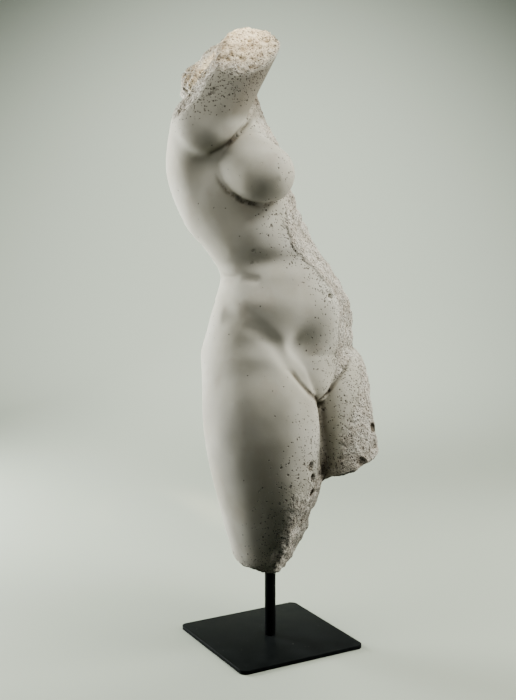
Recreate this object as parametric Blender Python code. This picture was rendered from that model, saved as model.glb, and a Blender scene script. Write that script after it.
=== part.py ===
"""A broken plaster torso of a woman, held up by a round rod on a square foot plate.

Metres, +Z up. The origin is the middle of the plate's underside, and the plate's sides run along X and Y.
The figure is measured in parts: x to its own left, y to its back, z up from the broken end of its right thigh.
"""
import math

import bmesh
import bpy
import numpy as np
from mathutils import Matrix, Vector

# Sizes of the stand and of the figure
FIGURE_HEIGHT = 0.772
PLATE_SIDE = 0.200
PLATE_THICKNESS = 0.006
PLATE_CORNER_RADIUS = 0.010
PLATE_EDGE_ROUND = 0.0006
ROD_DIAMETER = 0.016
ROD_SHOWN = 0.101
ROD_HELD = 0.090
ROD_END_CHAMFER = 0.0008
BORE_CLEARANCE = 0.0003
SEAT_GAP = 0.0003

# Turn of the figure on its plate, seen from above
FIGURE_TURN = math.radians(16.0)

# The figure is 772 parts high, so that one part is a millimetre at its real height
PARTS_HIGH = 772.0
PART = FIGURE_HEIGHT / PARTS_HIGH

# Direction that the broken faces are described from: half way between the figure's front and its right side
SEEN_FROM = math.radians(45.0)

CLAY_VOXEL = 0.0048
SKIN_FACES = 8600
ROD_SIDES = 48
PLATE_CORNER_STEPS = 6

# Level sections: height, middle in x and y, half width, depth before and behind the middle
TRUNK = [
    (238, 40, 2, 96, 58, 80), (273, 41, 6, 112, 68, 88), (298, 40, 10, 122, 76, 90),
    (323, 40, 12, 126, 80, 94), (363, 39, 8, 122, 82, 90), (396, 37, 5, 112, 81, 80),
    (432, 29, 6, 97, 74, 72), (463, 17, 18, 97, 75, 75), (498, 5, 37, 104, 80, 80),
    (551, -6, 47, 112, 82, 86), (593, -11, 52, 110, 80, 86), (628, -13, 54, 98, 66, 80),
    (658, -14, 56, 74, 48, 64), (688, -14, 60, 44, 36, 44),
]
RIGHT_THIGH = [
    (6, 0, 0, 49, 51, 47), (28, -1, 0, 55, 58, 53), (63, -4, -1, 62, 66, 60),
    (118, -9, -2, 72, 78, 72), (173, -16, -3, 78, 82, 80), (223, -21, -3, 79, 83, 84),
    (273, -23, 0, 74, 80, 82), (318, -20, 8, 62, 68, 74), (348, -16, 14, 46, 52, 60),
]
LEFT_THIGH = [
    (118, 87, -70, 56, 60, 58), (208, 92, -38, 66, 70, 70),
    (273, 96, -14, 68, 70, 78), (323, 98, 4, 62, 62, 76),
]

# Left side of the trunk, broken away: height, edge of the skin, front of the trunk, width of the slanted face
LEFT_BREAK = [
    (233, 62, -50, 60), (273, 64, -62, 68), (323, 62, -71, 76), (358, 58, -73, 76), (396, 52, -75, 67),
    (432, 34, -68, 58), (463, 12, -56, 62), (498, -4, -43, 64), (533, -10, -36, 44), (563, -8, -33, 26),
    (606, -14, -25, 22), (633, -16, -8, 20), (658, -17, 8, 20), (693, -17, 22, 20),
]

# Swellings and hollows of the skin: middle, reach along x, y and z, height above the skin
SWELLINGS = [
    ((-52, -38, 453), (34, 40, 15), -8.5),
    ((-14, -54, 456), (30, 30, 14), -5.0),
    ((-50, -36, 499), (56, 40, 20), 5.0),
    ((-70, -20, 401), (40, 46, 20), 6.0),
    ((42, -80, 363), (26, 30, 36), 6.0),
    ((-4, -66, 346), (19, 30, 21), -5.0),
    ((-66, -44, 325), (26, 24, 16), 4.0),
    ((-100, 20, 533), (24, 40, 40), -4.0),
    ((-110, 8, 586), (24, 26, 18), -7.0),
    ((-60, 122, 583), (30, 34, 46), 7.0),
    ((20, 104, 363), (16, 20, 16), -4.0),
    ((37, -80, 405), (4.5, 9.0, 3.6), -9.0),
]

# Folds and creases: path over the skin, half width, depth
CREASES = [
    ([(-60, 40, 429), (-67, -6, 432), (-58, -28, 430)], 6.0, 3.2),
    ([(-86, 6, 379), (-76, -24, 375), (-64, -42, 362), (-46, -56, 340), (-30, -68, 312), (-8, -76, 288)],
     10.0, 6.0),
    ([(8, -68, 322), (40, -74, 320), (66, -68, 317)], 4.0, 2.2),
]


def smooth_min(a, b, blend):
    """Join of two bodies with a soft valley between them."""
    near = np.maximum(blend - np.abs(a - b), 0.0) / blend
    return np.minimum(a, b) - near * near * blend * 0.25


def smooth_max(a, b, blend):
    """Cut of one body by another with a softened edge."""
    return -smooth_min(-a, -b, blend)


def turned(p, middle, tilt):
    """Points seen from middle, in axes tilted by degrees about x, y and z."""
    turn = Matrix.Identity(3)
    for axis, angle in zip("ZYX", reversed(tilt)):
        turn = turn @ Matrix.Rotation(math.radians(angle), 3, axis)
    return (p - np.asarray(middle, float)) @ np.array(turn)


def ellipsoid(p, middle, radii, tilt=(0.0, 0.0, 0.0)):
    """Signed distance, nearly, to an ellipsoid."""
    q = turned(p, middle, tilt)
    radii = np.asarray(radii, float)
    outer = np.linalg.norm(q / radii, axis=-1)
    slope = np.linalg.norm(q / (radii * radii), axis=-1) + 1e-9
    return outer * (outer - 1.0) / slope


def limb(p, start, end, start_radius, end_radius):
    """Round limb that tapers from start to end."""
    start = np.asarray(start, float)
    run = np.asarray(end, float) - start
    along = np.clip(((p - start) @ run) / (run @ run), 0.0, 1.0)
    reach = np.linalg.norm(p - start - along[..., None] * run, axis=-1)
    return reach - (start_radius + (end_radius - start_radius) * along)


def smooth_sections(rows, count=240):
    """Level sections between the given ones, on a smooth curve through them."""
    rows = np.array(rows, float)
    z = rows[:, 0]
    slope = np.zeros_like(rows)
    for i in range(len(z)):
        below, above = max(i - 1, 0), min(i + 1, len(z) - 1)
        slope[i] = (rows[above] - rows[below]) / (z[above] - z[below])
    levels = np.linspace(z[0], z[-1], count)
    k = np.clip(np.searchsorted(z, levels, side="right") - 1, 0, len(z) - 2)
    step = (z[k + 1] - z[k])[:, None]
    t = (levels - z[k])[:, None] / step
    curve = (2 * t**3 - 3 * t**2 + 1) * rows[k] + (t**3 - 2 * t**2 + t) * step * slope[k]
    curve += (-2 * t**3 + 3 * t**2) * rows[k + 1] + (t**3 - t**2) * step * slope[k + 1]
    curve[:, 0] = levels
    return curve


def lofted(p, sections, blend, end_relief=0.0):
    """Body through level sections, its ends closed with the given softness."""
    z = np.clip(p[..., 2], sections[0, 0], sections[-1, 0])
    cx, cy, width, front, back = (np.interp(z, sections[:, 0], sections[:, i]) for i in range(1, 6))
    dx, dy = p[..., 0] - cx, p[..., 1] - cy
    depth = np.where(dy < 0, front, back)
    power = 2.2
    q = (np.abs(dx / width) ** power + np.abs(dy / depth) ** power) ** (1.0 / power)
    q = np.maximum(q, 1e-4)
    side = np.maximum(np.hypot(dx, dy) * (1.0 - 1.0 / q), -np.minimum(width, depth))
    over = np.maximum(p[..., 2] - sections[-1, 0], sections[0, 0] - p[..., 2])
    return smooth_max(side * 0.92, over + end_relief, blend)


def cut_plane(p, point, normal):
    """Flat cut that keeps what lies behind the plane."""
    normal = np.asarray(normal, float)
    return (p - np.asarray(point, float)) @ (normal / np.linalg.norm(normal))


def seen(right, away, up):
    """Direction given as seen from SEEN_FROM: to the right, away and up."""
    c, s = math.cos(SEEN_FROM), math.sin(SEEN_FROM)
    return (right * c + away * s, -right * s + away * c, up)


def swelling(p, middle, reach, height):
    """Soft swelling, or a hollow where height is below zero."""
    q = (p - np.asarray(middle, float)) / np.asarray(reach, float)
    return -height * np.exp(-(q * q).sum(-1))


def crease(p, path, half_width, depth):
    """Soft furrow along a path over the skin."""
    path = np.asarray(path, float)
    best = np.full(p.shape[:-1], 1e9)
    for start, end in zip(path[:-1], path[1:]):
        best = np.minimum(best, limb(p, start, end, 0.0, 0.0))
    return depth * np.exp(-((best / half_width) ** 2))


def corner_value(cell, seed):
    """Fixed number between -1 and 1 for each corner of a lattice."""
    mix = (cell[..., 0] * 73856093) ^ (cell[..., 1] * 19349663) ^ (cell[..., 2] * 83492791) ^ (seed * 40503)
    mix = ((mix ^ (mix >> 13)) * 60493) & 0xFFFFFFFF
    mix = (mix ^ (mix >> 7)) & 0xFFFF
    return mix / 32767.5 - 1.0


def lumps(p, size, seed):
    """Lumpy relief between about -1 and 1, the same on every run."""
    q = p / size
    cell = np.floor(q).astype(np.int64)
    t = q - cell
    t = t * t * (3.0 - 2.0 * t)
    total = 0.0
    for dx in (0, 1):
        for dy in (0, 1):
            for dz in (0, 1):
                step = np.array((dx, dy, dz))
                weight = np.where(step == 1, t, 1.0 - t).prod(-1)
                total = total + weight * corner_value(cell + step, seed)
    return total


def broken_relief(p):
    """Relief of the broken faces."""
    return 4.2 * lumps(p, 27.0, 3) + 2.2 * lumps(p, 12.0, 5)


TRUNK_CURVE = smooth_sections(TRUNK)
RIGHT_THIGH_CURVE = smooth_sections(RIGHT_THIGH)
LEFT_THIGH_CURVE = smooth_sections(LEFT_THIGH)
LEFT_BREAK_CURVE = smooth_sections(LEFT_BREAK)


def left_break(p):
    """Broken left side: a slanted face back from the edge of the skin, then straight back."""
    z = p[..., 2]
    edge, front, width = (np.interp(z, LEFT_BREAK_CURVE[:, 0], LEFT_BREAK_CURVE[:, i]) for i in (1, 2, 3))
    slant = (p[..., 0] - edge - 2.0 * (p[..., 1] - front)) / math.sqrt(5.0)
    straight = (p[..., 0] - edge - width) * 0.95
    return smooth_max(slant, straight, 8.0)


def back_furrows(p):
    """Line of the spine and the parting of the buttocks."""
    z = p[..., 2]
    middle_x, middle_y = (np.interp(z, TRUNK_CURVE[:, 0], TRUNK_CURVE[:, i]) for i in (1, 2))
    behind = np.clip((p[..., 1] - middle_y - 20.0) / 30.0, 0.0, 1.0)
    spine = 6.0 * np.exp(-(((p[..., 0] - middle_x) / 12.0) ** 2))
    spine = spine * np.clip((z - 330.0) / 40.0, 0.0, 1.0) * np.clip((670.0 - z) / 60.0, 0.0, 1.0)
    parting = 16.0 * np.exp(-(((p[..., 0] - 45.0) / 8.0) ** 2))
    parting = parting * np.clip((z - 225.0) / 25.0, 0.0, 1.0) * np.clip((345.0 - z) / 60.0, 0.0, 1.0)
    return behind * (spine + parting)


def trunk(p, relief):
    """Chest, belly, hips and right shoulder, with the left side broken away."""
    d = lofted(p, TRUNK_CURVE, 40.0)
    d = smooth_min(d, ellipsoid(p, (2, 52, 291), (60, 56, 64)), 22.0)
    d = smooth_min(d, ellipsoid(p, (90, 52, 289), (60, 56, 64)), 22.0)
    d = smooth_min(d, ellipsoid(p, (41, -24, 291), (50, 44, 44)), 18.0)
    d = smooth_min(d, ellipsoid(p, (36, -42, 275), (30, 32, 34)), 12.0)
    d = smooth_min(d, ellipsoid(p, (-50, 8, 603), (48, 32, 48), (14, 0, -10)), 30.0)
    d = smooth_min(d, ellipsoid(p, (-80, 46, 628), (48, 44, 52)), 26.0)
    d = d + back_furrows(p)
    return smooth_max(d, left_break(p) + relief + 3.0 * lumps(p, 80.0, 11), 3.0)


def right_thigh(p, relief):
    """Standing thigh, broken above the knee and chipped along its inner edge."""
    d = lofted(p, RIGHT_THIGH_CURVE, 24.0, 0.6 * relief)
    return smooth_max(d, cut_plane(p, (6, -62, 93), seen(0.88, -0.28, -0.40)) + relief, 3.0)


def left_thigh(p, relief):
    """Advanced thigh, broken off short and down its outer side."""
    wide_relief = 7.0 * lumps(p, 62.0, 9)
    d = lofted(p, LEFT_THIGH_CURVE, 26.0)
    d = smooth_max(d, cut_plane(p, (128, -60, 223), (0.95, -0.28, -0.12)) + relief + wide_relief, 5.0)
    return smooth_max(d, cut_plane(p, (100, -60, 155), seen(0.40, 0.0, -0.92)) + relief, 5.0)


def breast(p, relief):
    """Right breast."""
    d = ellipsoid(p, (-61, -31, 570), (46, 43, 43), (0, 0, -20))
    d = smooth_min(d, ellipsoid(p, (-58, -8, 588), (42, 31, 42), (14, 0, -10)), 24.0)
    return smooth_min(d, ellipsoid(p, (-63, -68, 567), (8, 9, 8)), 8.0)


def top_break(p):
    """Broken face across the raised arm and the neck."""
    return cut_plane(p, (-60, 10, 771), seen(0.08, -0.67, 0.74))


def arm(p, relief):
    """Raised right upper arm, broken below the elbow's height."""
    d = limb(p, (-103, 20, 639), (-66, -35, 755), 44.0, 37.5)
    return smooth_max(d, top_break(p) + relief, 3.0)


def neck(p, relief):
    """Stump of the neck and the thrown back head."""
    d = limb(p, (-16, 62, 661), (-24, 88, 725), 40.0, 42.0)
    d = smooth_min(d, ellipsoid(p, (-32, 84, 688), (44, 44, 46)), 20.0)
    d = d + 0.5 * relief * np.clip((p[..., 2] - 650.0) / 30.0, 0.0, 1.0)
    d = smooth_max(d, top_break(p) + relief, 3.0)
    return smooth_max(d, cut_plane(p, (-36, 70, 743), seen(-0.60, -0.25, 0.76)) + relief, 3.0)


def figure(p):
    """Signed distance, nearly, to the skin of the whole figure."""
    relief = broken_relief(p)
    hip_blend = np.interp(p[..., 0], [-30.0, 15.0], [22.0, 7.0])
    d = smooth_min(trunk(p, relief), right_thigh(p, relief), hip_blend)
    for row in SWELLINGS:
        d = d + swelling(p, *row)
    for row in CREASES:
        d = d + crease(p, *row)
    d = smooth_min(d, left_thigh(p, relief), 7.0)
    d = smooth_min(d, breast(p, relief), 8.0)
    shoulder_blend = np.interp(p[..., 1], [5.0, 55.0], [7.0, 26.0])
    d = smooth_min(d, arm(p, relief), shoulder_blend)
    return smooth_min(d, neck(p, relief), 8.0)


# Lumps of clay that the figure is built up from: form, and points inside it to push a ball out from
CLAY = [
    (trunk, [(30, 20, 270), (35, 10, 350), (20, 12, 420), (-12, 30, 480), (-40, 45, 550), (-50, 48, 615)]),
    (right_thigh, [(-4, 2, 50), (-12, 0, 140), (-20, 2, 240), (-18, 10, 310)]),
    (left_thigh, [(84, -48, 175), (88, -25, 245), (88, -5, 295)]),
    (breast, [(-60, -26, 577)]),
    (arm, [(-84, -6, 690)]),
    (neck, [(-24, 76, 690)]),
]


def clear_scene():
    for old in list(bpy.data.objects):
        bpy.data.objects.remove(old, do_unlink=True)


def material(name, colour, roughness, metallic):
    mat = bpy.data.materials.new(name)
    mat.use_nodes = True
    shader = mat.node_tree.nodes["Principled BSDF"]
    shader.inputs["Base Color"].default_value = (*colour, 1.0)
    shader.inputs["Roughness"].default_value = roughness
    shader.inputs["Metallic"].default_value = metallic
    return mat


def add_object(name, mesh, mat=None):
    obj = bpy.data.objects.new(name, mesh)
    bpy.context.scene.collection.objects.link(obj)
    if mat is not None:
        mesh.materials.append(mat)
    return obj


def mesh_from(bm, name):
    mesh = bpy.data.meshes.new(name)
    bm.to_mesh(mesh)
    bm.free()
    return mesh


def shade_round(mesh, angle=35.0):
    mesh.shade_smooth()
    mesh.set_sharp_from_angle(angle=math.radians(angle))


def push_ball_out(form, middle):
    """Ball of clay whose points are pushed out from middle to the skin of one form."""
    ball = bmesh.new()
    bmesh.ops.create_icosphere(ball, subdivisions=5, radius=1.0)
    rays = np.array([v.co for v in ball.verts])
    middle = np.asarray(middle, float)
    reach = np.ones(len(rays))
    for _ in range(90):
        points = middle + rays * reach[:, None]
        reach -= 0.7 * form(points, broken_relief(points))
        reach = np.maximum(reach, 0.5)
    for vert, ray, length in zip(ball.verts, rays, reach):
        vert.co = Vector((middle + ray * length) * PART)
    return ball


def evaluated_mesh(obj, name):
    """Mesh of an object with its modifiers."""
    graph = bpy.context.evaluated_depsgraph_get()
    return bpy.data.meshes.new_from_object(obj.evaluated_get(graph), depsgraph=graph).copy()


def joined_clay():
    """All the balls of clay, fused into one closed lump."""
    lump = bmesh.new()
    for form, middles in CLAY:
        for middle in middles:
            lump.from_mesh(mesh_from(push_ball_out(form, middle), "clay_ball"))
    obj = add_object("clay", mesh_from(lump, "clay"))
    fuse = obj.modifiers.new("fuse", "REMESH")
    fuse.mode = "VOXEL"
    fuse.voxel_size = CLAY_VOXEL
    mesh = evaluated_mesh(obj, "torso")
    bpy.data.objects.remove(obj, do_unlink=True)
    return mesh


def carve(mesh):
    """Moves the lump's points onto the skin of the figure."""
    count = len(mesh.vertices)
    flat = np.empty(count * 3)
    mesh.vertices.foreach_get("co", flat)
    p = flat.reshape(count, 3) / PART
    probe = 0.6
    for _ in range(8):
        d = figure(p)
        slope = np.stack([figure(p + probe * np.eye(3)[i]) - figure(p - probe * np.eye(3)[i]) for i in range(3)], -1)
        slope = slope / (2.0 * probe)
        length = np.maximum((slope * slope).sum(-1), 0.2)
        p = p - slope * (np.clip(d, -3.0, 3.0) / length)[:, None]
    mesh.vertices.foreach_set("co", (p * PART).ravel())
    mesh.update()


def torso(mat):
    mesh = joined_clay()
    carve(mesh)
    mesh.materials.clear()
    obj = add_object("torso", mesh, mat)
    obj.location = (0.0, 0.0, PLATE_THICKNESS + ROD_SHOWN)
    obj.rotation_euler = (0.0, 0.0, FIGURE_TURN)
    facets = obj.modifiers.new("facets", "DECIMATE")
    facets.ratio = SKIN_FACES / (2.0 * len(mesh.polygons))
    bore = obj.modifiers.new("bore", "BOOLEAN")
    bore.operation = "DIFFERENCE"
    bore.solver = "EXACT"
    bore.object = bore_cutter()
    return obj


def cylinder(name, radius, low, high):
    """Upright cylinder on the rod's axis."""
    bm = bmesh.new()
    middle = Matrix.Translation((0.0, 0.0, (low + high) / 2))
    bmesh.ops.create_cone(bm, cap_ends=True, segments=ROD_SIDES, radius1=radius, radius2=radius,
                          depth=high - low, matrix=middle)
    return mesh_from(bm, name)


def bore_cutter():
    """Blind bore up into the thigh, for the rod."""
    low = PLATE_THICKNESS + ROD_SHOWN - ROD_HELD / 2
    high = PLATE_THICKNESS + ROD_SHOWN + ROD_HELD
    obj = add_object("bore_cutter", cylinder("bore_cutter", ROD_DIAMETER / 2 + BORE_CLEARANCE, low, high))
    obj.hide_render = True
    obj.display_type = "WIRE"
    return obj


def stand_rod(mat):
    low = PLATE_THICKNESS + SEAT_GAP
    high = PLATE_THICKNESS + ROD_SHOWN + ROD_HELD - SEAT_GAP
    mesh = cylinder("stand_rod", ROD_DIAMETER / 2, low, high)
    obj = add_object("stand_rod", mesh, mat)
    edge = obj.modifiers.new("end_chamfer", "BEVEL")
    edge.width = ROD_END_CHAMFER
    edge.segments = 1
    edge.limit_method = "ANGLE"
    shade_round(mesh)
    return obj


def base_plate(mat):
    bm = bmesh.new()
    size = Matrix.Diagonal((PLATE_SIDE, PLATE_SIDE, PLATE_THICKNESS, 1.0))
    place = Matrix.Translation((0.0, 0.0, PLATE_THICKNESS / 2))
    bmesh.ops.create_cube(bm, size=1.0, matrix=place @ size)
    uprights = [e for e in bm.edges if abs(e.verts[0].co.z - e.verts[1].co.z) > PLATE_THICKNESS / 2]
    bmesh.ops.bevel(bm, geom=uprights, offset=PLATE_CORNER_RADIUS, segments=PLATE_CORNER_STEPS,
                    profile=0.5, affect="EDGES")
    mesh = mesh_from(bm, "base_plate")
    obj = add_object("base_plate", mesh, mat)
    edge = obj.modifiers.new("edge_round", "BEVEL")
    edge.width = PLATE_EDGE_ROUND
    edge.segments = 2
    edge.limit_method = "ANGLE"
    edge.angle_limit = math.radians(60.0)
    shade_round(mesh)
    return obj


def main():
    clear_scene()
    plaster = material("plaster", (0.56, 0.53, 0.48), 0.9, 0.0)
    black_steel = material("black_steel", (0.014, 0.016, 0.016), 0.45, 0.2)
    base_plate(black_steel)
    stand_rod(black_steel.copy())
    torso(plaster)


main()
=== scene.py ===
"""Looks of a broken plaster torso on a black steel rod and foot plate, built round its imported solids.

Metres, +Z up, in the frame of the solids. The figure is measured in parts, as its solid is: x to its own
left, y to its back, z up from the broken end of its right thigh.
"""

import math

import bmesh
import bpy
import numpy as np
from bpy.props import FloatProperty, FloatVectorProperty, IntProperty, PointerProperty
from mathutils import Matrix, Vector


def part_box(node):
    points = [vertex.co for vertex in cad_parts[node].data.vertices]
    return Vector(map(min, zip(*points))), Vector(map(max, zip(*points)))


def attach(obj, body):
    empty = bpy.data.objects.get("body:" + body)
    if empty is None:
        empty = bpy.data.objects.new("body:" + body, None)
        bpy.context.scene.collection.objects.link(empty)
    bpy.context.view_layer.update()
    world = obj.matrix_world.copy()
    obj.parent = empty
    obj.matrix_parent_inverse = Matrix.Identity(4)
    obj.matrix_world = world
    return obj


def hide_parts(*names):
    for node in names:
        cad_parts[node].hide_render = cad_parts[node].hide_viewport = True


bl_info = {
    "name": "Plaster Torso on a Rod Stand",
    "version": (1, 0, 0),
    "blender": (4, 5, 0),
    "location": "View3D > Sidebar > Torso",
    "description": "Models a broken plaster torso, its steel rod and foot plate, and a studio round them",
    "category": "Add Mesh",
}

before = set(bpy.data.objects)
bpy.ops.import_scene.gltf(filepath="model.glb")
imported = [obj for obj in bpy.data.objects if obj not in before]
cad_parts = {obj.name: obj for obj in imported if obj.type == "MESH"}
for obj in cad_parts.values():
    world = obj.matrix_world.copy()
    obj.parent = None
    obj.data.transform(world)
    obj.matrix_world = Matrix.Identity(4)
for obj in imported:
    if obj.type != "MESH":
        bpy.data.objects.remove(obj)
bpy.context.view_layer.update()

ROD_LOW, ROD_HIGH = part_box("stand_rod")
PLATE_LOW, PLATE_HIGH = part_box("base_plate")

# The figure's own measure, as its solid has it: one part is a millimetre
PART = 0.001
THIGH_END = 0.107
FIGURE_TURN = math.radians(16.0)
SEEN_FROM = math.radians(45.0)
BORE_CLEARANCE = 0.0003
BORE_END = ROD_HIGH[2] + BORE_CLEARANCE

# Reach over the skin, in parts, that stands for no break nearby
FAR = 99.0

# Most that a level edge of the rod or plate may rise, in metres
LEVEL = 1e-6

# Direction of the photograph over the floor, from +Y towards +X
VIEW_TURN = math.radians(29.0)

# Level sections: height, middle in x and y, half width, depth before and behind the middle
TRUNK = [
    (238, 40, 2, 96, 58, 80), (273, 41, 6, 112, 68, 88), (298, 40, 10, 122, 76, 90),
    (323, 40, 12, 126, 80, 94), (363, 39, 8, 122, 82, 90), (396, 37, 5, 112, 81, 80),
    (432, 29, 6, 97, 74, 72), (463, 17, 18, 97, 75, 75), (498, 5, 37, 104, 80, 80),
    (551, -6, 47, 112, 82, 86), (593, -11, 52, 110, 80, 86), (628, -13, 54, 98, 66, 80),
    (658, -14, 56, 74, 48, 64), (688, -14, 60, 44, 36, 44),
]
RIGHT_THIGH = [
    (6, 0, 0, 49, 51, 47), (28, -1, 0, 55, 58, 53), (63, -4, -1, 62, 66, 60),
    (118, -9, -2, 72, 78, 72), (173, -16, -3, 78, 82, 80), (223, -21, -3, 79, 83, 84),
    (273, -23, 0, 74, 80, 82), (318, -20, 8, 62, 68, 74), (348, -16, 14, 46, 52, 60),
]
LEFT_THIGH = [
    (118, 87, -70, 56, 60, 58), (208, 92, -38, 66, 70, 70),
    (273, 96, -14, 68, 70, 78), (323, 98, 4, 62, 62, 76),
]

# Left side of the trunk, broken away: height, edge of the skin, front of the trunk, width of the slanted face
LEFT_BREAK = [
    (233, 62, -50, 60), (273, 64, -62, 68), (323, 62, -71, 76), (358, 58, -73, 76), (396, 52, -75, 67),
    (432, 34, -68, 58), (463, 12, -56, 62), (498, -4, -43, 64), (533, -10, -36, 44), (563, -8, -33, 26),
    (606, -14, -25, 22), (633, -16, -8, 20), (658, -17, 8, 20), (693, -17, 22, 20),
]

# Swellings and hollows of the skin: middle, reach along x, y and z, height above the skin
SWELLINGS = [
    ((-52, -38, 453), (34, 40, 15), -8.5),
    ((-14, -54, 456), (30, 30, 14), -5.0),
    ((-50, -36, 499), (56, 40, 20), 5.0),
    ((-70, -20, 401), (40, 46, 20), 6.0),
    ((42, -80, 363), (26, 30, 36), 6.0),
    ((-6, -58, 341), (20, 30, 22), -11.5),
    ((-66, -44, 325), (26, 24, 16), 4.0),
    ((-100, 20, 533), (24, 40, 40), -4.0),
    ((-110, 8, 586), (24, 26, 18), -7.0),
    ((-60, 122, 583), (30, 34, 46), 7.0),
    ((20, 104, 363), (16, 20, 16), -4.0),
    ((41, -74, 404), (3.4, 12.0, 3.2), -10.0),
    ((41, -80, 411), (8.0, 9.0, 3.5), 1.2),
    ((-108, 18, 576), (16, 16, 16), -3.0),
    ((-114, 27, 556), (14, 16, 22), -2.0),
]

# Soft creases: path over the skin, half width, depth
CREASES = [
    ([(-60, 40, 429), (-67, -6, 432), (-58, -28, 430)], 6.0, 3.2),
    ([(-86, 6, 379), (-76, -24, 375), (-64, -42, 362), (-46, -56, 340), (-30, -68, 312), (-8, -76, 288)],
     10.0, 6.0),
    ([(8, -68, 322), (40, -74, 320), (66, -68, 317)], 4.0, 2.2),
]

# Chips and holes: middle, radii, tilt about x, y and z in degrees
CHIPS = [
    ((-4, -86, 169), (6, 6, 9), (0, 28, 0)), ((1, -84, 152), (5, 5, 7), (0, 0, 0)),
    ((3, -81, 128), (6, 7, 7), (0, 20, 0)), ((-8, -87, 206), (1.6, 4, 5), (0, 20, 0)),
    ((99, -114, 190), (8, 5, 7), (0, 0, 0)), ((66, -116, 168), (9, 5, 8), (0, 0, 0)),
    ((104, -106, 212), (6, 6, 8), (0, 0, 0)), ((-126, -21, 682), (2.2, 4, 2.2), (0, 0, 0)),
    ((-127, -21, 677), (2.2, 4, 2.2), (0, 0, 0)), ((-62, -28, 470), (1.8, 3, 1.8), (0, 0, 0)),
    ((-58, -22, 453), (1.6, 3, 1.6), (0, 0, 0)), ((-53, -27, 453), (1.6, 3, 1.6), (0, 0, 0)),
]

# Crisp folds between the limbs and the trunk: path over the skin, half width, depth
FOLDS = [
    ([(109, -60, 312), (89, -64, 297), (68, -67, 281), (49, -67, 266), (31, -62, 255)], 3.2, 4.0),
    ([(-36, -60, 313), (-22, -64, 300), (-10, -66, 286), (3, -71, 271), (31, -62, 255)], 3.2, 4.0),
    ([(34, -66, 150), (34, -71, 177), (35, -71, 198), (35, -66, 241), (31, -62, 255)], 5.0, 3.0),
    ([(-13, 16, 667), (-36, 1, 650), (-62, -14, 638), (-78, -17, 628), (-93, -15, 616), (-105, -10, 607),
      (-112, 2, 600)], 3.4, 3.0),
    ([(-101, 8, 578), (-99, 0, 562), (-91, -8, 549), (-79, -19, 538), (-69, -32, 534), (-56, -42, 533),
      (-40, -46, 537), (-14, -36, 543)], 3.0, 3.0),
]


def smooth_min(a, b, blend):
    """Join of two bodies with a soft valley between them."""
    near = np.maximum(blend - np.abs(a - b), 0.0) / blend
    return np.minimum(a, b) - near * near * blend * 0.25


def smooth_max(a, b, blend):
    """Cut of one body by another with a softened edge."""
    return -smooth_min(-a, -b, blend)


def turned(p, middle, tilt):
    """Points seen from middle, in axes tilted by degrees about x, y and z."""
    turn = Matrix.Identity(3)
    for axis, angle in zip("ZYX", reversed(tilt)):
        turn = turn @ Matrix.Rotation(math.radians(angle), 3, axis)
    return (p - np.asarray(middle, float)) @ np.array(turn)


def ellipsoid(p, middle, radii, tilt=(0.0, 0.0, 0.0)):
    """Signed distance, nearly, to an ellipsoid."""
    q = turned(p, middle, tilt)
    radii = np.asarray(radii, float)
    outer = np.linalg.norm(q / radii, axis=-1)
    slope = np.linalg.norm(q / (radii * radii), axis=-1) + 1e-9
    return outer * (outer - 1.0) / slope


def limb(p, start, end, start_radius, end_radius):
    """Round limb that tapers from start to end."""
    start = np.asarray(start, float)
    run = np.asarray(end, float) - start
    along = np.clip(((p - start) @ run) / (run @ run), 0.0, 1.0)
    reach = np.linalg.norm(p - start - along[..., None] * run, axis=-1)
    return reach - (start_radius + (end_radius - start_radius) * along)


def smooth_sections(rows, count=240):
    """Level sections between the given ones, on a smooth curve through them."""
    rows = np.array(rows, float)
    z = rows[:, 0]
    slope = np.zeros_like(rows)
    for i in range(len(z)):
        below, above = max(i - 1, 0), min(i + 1, len(z) - 1)
        slope[i] = (rows[above] - rows[below]) / (z[above] - z[below])
    levels = np.linspace(z[0], z[-1], count)
    k = np.clip(np.searchsorted(z, levels, side="right") - 1, 0, len(z) - 2)
    step = (z[k + 1] - z[k])[:, None]
    t = (levels - z[k])[:, None] / step
    curve = (2 * t**3 - 3 * t**2 + 1) * rows[k] + (t**3 - 2 * t**2 + t) * step * slope[k]
    curve += (-2 * t**3 + 3 * t**2) * rows[k + 1] + (t**3 - t**2) * step * slope[k + 1]
    curve[:, 0] = levels
    return curve


def lofted(p, sections, blend, end_relief=0.0):
    """Body through level sections, its ends closed with the given softness."""
    z = np.clip(p[..., 2], sections[0, 0], sections[-1, 0])
    cx, cy, width, front, back = (np.interp(z, sections[:, 0], sections[:, i]) for i in range(1, 6))
    dx, dy = p[..., 0] - cx, p[..., 1] - cy
    depth = np.where(dy < 0, front, back)
    power = 2.2
    q = (np.abs(dx / width) ** power + np.abs(dy / depth) ** power) ** (1.0 / power)
    q = np.maximum(q, 1e-4)
    side = np.maximum(np.hypot(dx, dy) * (1.0 - 1.0 / q), -np.minimum(width, depth))
    over = np.maximum(p[..., 2] - sections[-1, 0], sections[0, 0] - p[..., 2])
    return smooth_max(side * 0.92, over + end_relief, blend)


def cut_plane(p, point, normal):
    """Flat cut that keeps what lies behind the plane."""
    normal = np.asarray(normal, float)
    return (p - np.asarray(point, float)) @ (normal / np.linalg.norm(normal))


def over_floor(heading, right, away, up):
    """Direction or place given as seen along a heading: to the right, away and up."""
    c, s = math.cos(heading), math.sin(heading)
    return (right * c + away * s, -right * s + away * c, up)


def seen(right, away, up):
    """Direction given as seen along SEEN_FROM."""
    return over_floor(SEEN_FROM, right, away, up)


def swelling(p, middle, reach, height):
    """Soft swelling, or a hollow where height is below zero."""
    q = (p - np.asarray(middle, float)) / np.asarray(reach, float)
    return -height * np.exp(-(q * q).sum(-1))


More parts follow.
